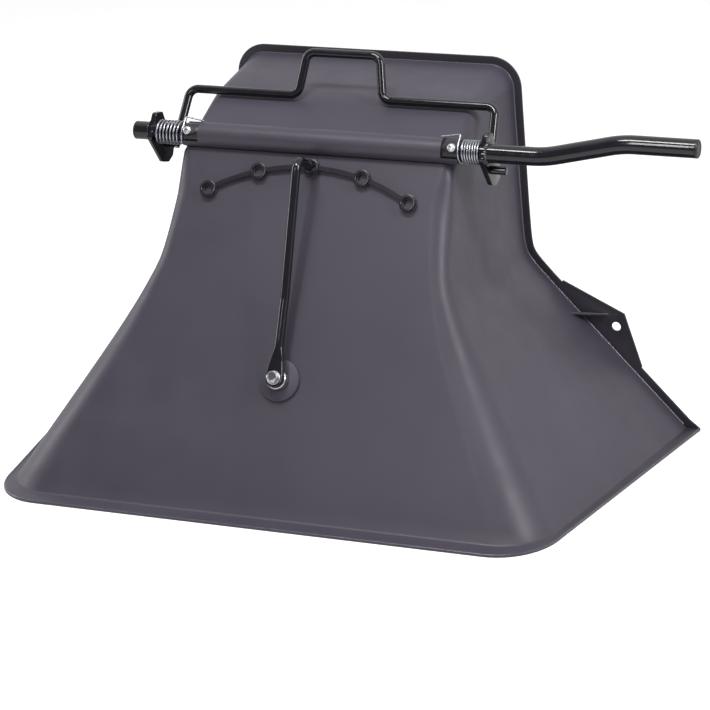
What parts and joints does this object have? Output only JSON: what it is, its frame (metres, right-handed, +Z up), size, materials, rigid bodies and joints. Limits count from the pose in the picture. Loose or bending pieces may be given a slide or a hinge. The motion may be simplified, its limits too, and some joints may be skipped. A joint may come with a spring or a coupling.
{
  "type": "mower discharge deflector",
  "caption": "Flared moulded chute hood of a ride-on mower, with a sprung pull bail and cranked pivot tube over its top and a swinging lever that turns a guide vane inside.",
  "frame": {"origin": "centre of the bounding box on the ground plane, which is the plane of the bottom lip", "axes": "+X to the right seen from the front, along the pivot tube; +Y to the back, where the flange meets the mower; +Z up"},
  "size_m": [0.897, 0.4552, 0.4959],
  "materials": {
    "hood_plastic": "dark grey moulded plastic with a fine satin grain",
    "black_plastic": "black moulded plastic",
    "black_paint": "glossy black powder coat on steel",
    "zinc": "bright zinc plate",
    "spring_steel": "bright drawn spring wire",
    "vane_plastic": "black moulded plastic"
  },
  "bodies": {
    "deflector": {"hood": "hood_plastic", "bearing_bush_left": "black_plastic", "bearing_bush_right": "black_plastic", "bush_screw_left": "zinc", "bush_screw_right": "zinc", "torsion_spring_left": "spring_steel", "torsion_spring_right": "spring_steel"},
    "pull_bar": {"pivot_tube": "black_paint", "tube_plug_left": "black_plastic", "tube_plug_right": "black_plastic", "latch_plate_left": "black_paint", "latch_plate_right": "black_paint", "latch_peg": "black_paint", "pull_bail": "black_paint"},
    "vane_lever": {"adjusting_lever": "black_paint", "lever_bolt": "zinc", "lever_spacer": "zinc", "lever_washer": "zinc", "vane_washer": "zinc", "vane_nut": "zinc", "guide_vane": "vane_plastic"}
  },
  "joints": [
    {"name": "pull_bar_turn", "type": "hinge", "parent": "deflector", "child": "pull_bar", "pos_m": [-0.0295, 0.0228, 0.4056], "axis": [1, 0, 0], "range_deg": [0, 75], "stiffness_Nm_per_rad": 0.5, "springref_deg": -20.05},
    {"name": "vane_lever_swing", "type": "hinge", "parent": "deflector", "child": "vane_lever", "pos_m": [-0.0295, -0.12011, 0.14878], "axis": [0, -0.8721, 0.4894], "range_deg": [-30, 30]}
  ]
}
